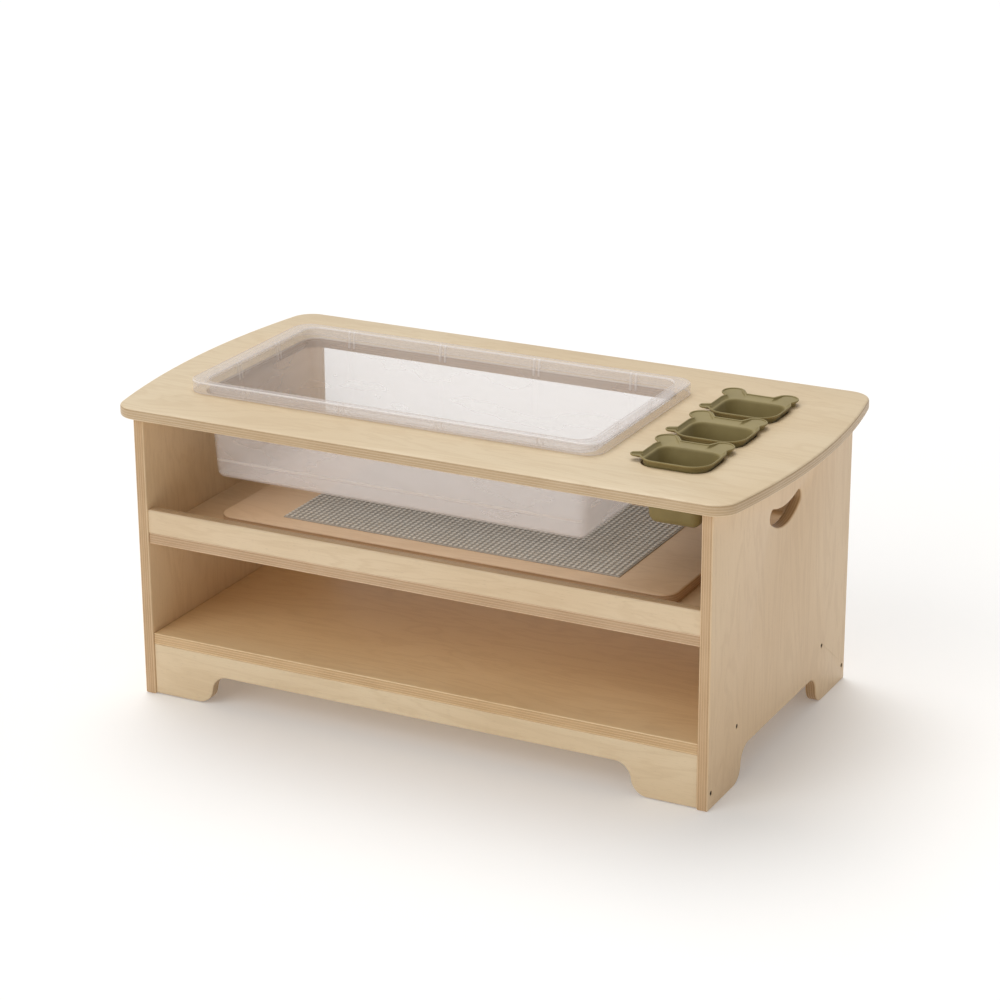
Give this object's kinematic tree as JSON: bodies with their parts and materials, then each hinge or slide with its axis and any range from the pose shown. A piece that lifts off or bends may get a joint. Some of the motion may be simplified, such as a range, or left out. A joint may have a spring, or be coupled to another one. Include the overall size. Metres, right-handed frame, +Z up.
{
  "type": "play table",
  "caption": "Low plywood play table with a lift-out clear tub, animal-head cups, two open shelves and a loose board with stud plates.",
  "frame": {"origin": "on the floor under the middle of the table", "axes": "+X along the table towards the cups, +Y to the back, +Z up"},
  "size_m": [0.958, 0.512, 0.441],
  "materials": {
    "birch_ply": "clear satin lacquer on rotary-cut birch, layered edges",
    "tub_plastic": "translucent moulded polypropylene, lightly frosted",
    "silicone": "matte moulded silicone, olive",
    "stud_plastic": "moulded, semi-gloss",
    "screw_steel": "black oxide",
    "dowel_beech": "raw beech"
  },
  "bodies": {
    "table": {"top": "birch_ply", "left_panel": "birch_ply", "right_panel": "birch_ply", "bottom_shelf": "birch_ply", "middle_shelf": "birch_ply", "front_kick_rail": "birch_ply", "back_kick_rail": "birch_ply", "front_lip": "birch_ply", "back_lip": "birch_ply", "left_shelf_screws": "screw_steel", "right_shelf_screws": "screw_steel", "left_rail_screws": "screw_steel", "right_rail_screws": "screw_steel", "left_shelf_dowels": "dowel_beech", "right_shelf_dowels": "dowel_beech", "left_top_dowels": "dowel_beech", "right_top_dowels": "dowel_beech", "front_lip_dowels": "dowel_beech", "back_lip_dowels": "dowel_beech", "front_rail_dowels": "dowel_beech", "back_rail_dowels": "dowel_beech"},
    "lift_tub": {"tub": "tub_plastic"},
    "front_cup": {"cup_front": "silicone"},
    "middle_cup": {"cup_middle": "silicone"},
    "back_cup": {"cup_back": "silicone"},
    "cover": {"cover_board": "birch_ply", "left_stud_plate": "stud_plastic", "right_stud_plate": "stud_plastic"}
  },
  "joints": [
    {"name": "tub_lift", "type": "slide", "parent": "table", "child": "lift_tub", "axis": [0, 0, 1], "range_m": [0, 0.14]},
    {"name": "front_cup_lift", "type": "slide", "parent": "table", "child": "front_cup", "axis": [0, 0, 1], "range_m": [0, 0.1]},
    {"name": "middle_cup_lift", "type": "slide", "parent": "table", "child": "middle_cup", "axis": [0, 0, 1], "range_m": [0, 0.1]},
    {"name": "back_cup_lift", "type": "slide", "parent": "table", "child": "back_cup", "axis": [0, 0, 1], "range_m": [0, 0.1]},
    {"name": "cover_lift", "type": "slide", "parent": "table", "child": "cover", "axis": [0, 0, 1], "range_m": [0, 0.035]}
  ]
}
